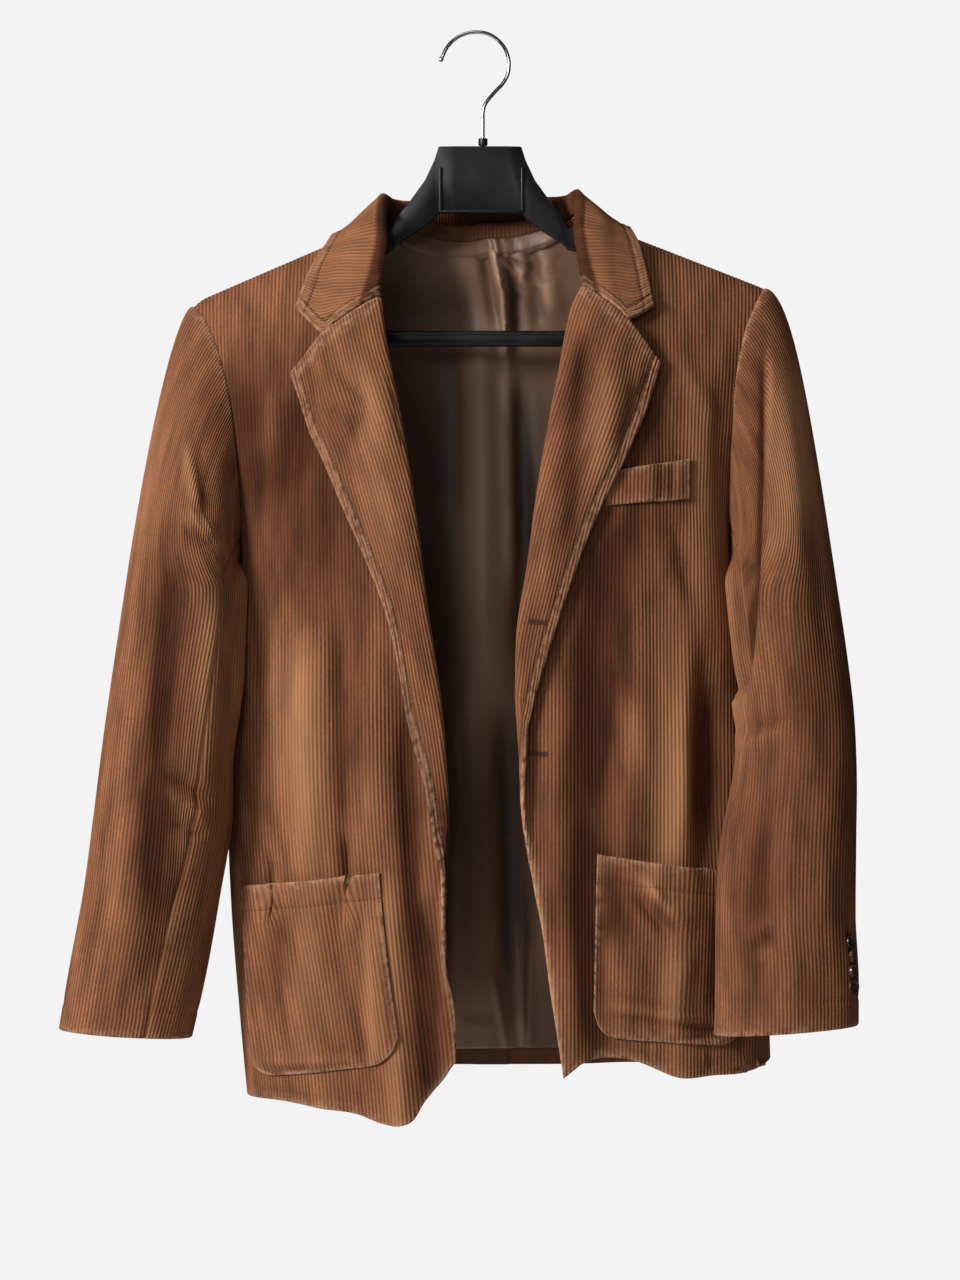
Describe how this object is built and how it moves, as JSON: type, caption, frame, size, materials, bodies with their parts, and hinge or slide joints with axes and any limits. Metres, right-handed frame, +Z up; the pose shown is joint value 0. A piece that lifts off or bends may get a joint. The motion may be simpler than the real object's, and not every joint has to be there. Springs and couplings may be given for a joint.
{
  "type": "corduroy jacket on a hanger",
  "caption": "Wide-wale corduroy jacket with notched lapels, patch pockets and a satin lining, hanging open on a plastic suit hanger with a metal hook.",
  "frame": {"origin": "top of the hanger's hook, on the wire's centre plane", "axes": "+Z up, -Y the jacket's front, +X the wearer's left"},
  "size_m": [0.6244, 0.1809, 0.8668],
  "materials": {
    "corduroy": "brown wide-wale cotton corduroy",
    "lining": "dark brown satin",
    "button": "dark brown, satin",
    "hanger_plastic": "black, satin",
    "hook_steel": "polished"
  },
  "bodies": {
    "root": {"front_right": "corduroy", "facing_right": "corduroy", "back_right": "corduroy", "top_sleeve_right": "corduroy", "under_sleeve_right": "corduroy", "pocket_right": "corduroy", "front_left": "corduroy", "facing_left": "corduroy", "back_left": "corduroy", "top_sleeve_left": "corduroy", "under_sleeve_left": "corduroy", "pocket_left": "corduroy", "collar": "corduroy", "chest_welt": "corduroy", "lining_back": "lining", "lining_front_right": "lining", "lining_front_left": "lining", "cuff_button_right_1": "button", "cuff_button_right_2": "button", "cuff_button_right_3": "button", "cuff_button_right_4": "button", "cuff_button_left_1": "button", "cuff_button_left_2": "button", "cuff_button_left_3": "button", "cuff_button_left_4": "button", "hanger_body": "hanger_plastic", "hanger_bar": "hanger_plastic", "hanger_ferrule": "hook_steel", "hanger_hook": "hook_steel"}
  },
  "joints": []
}
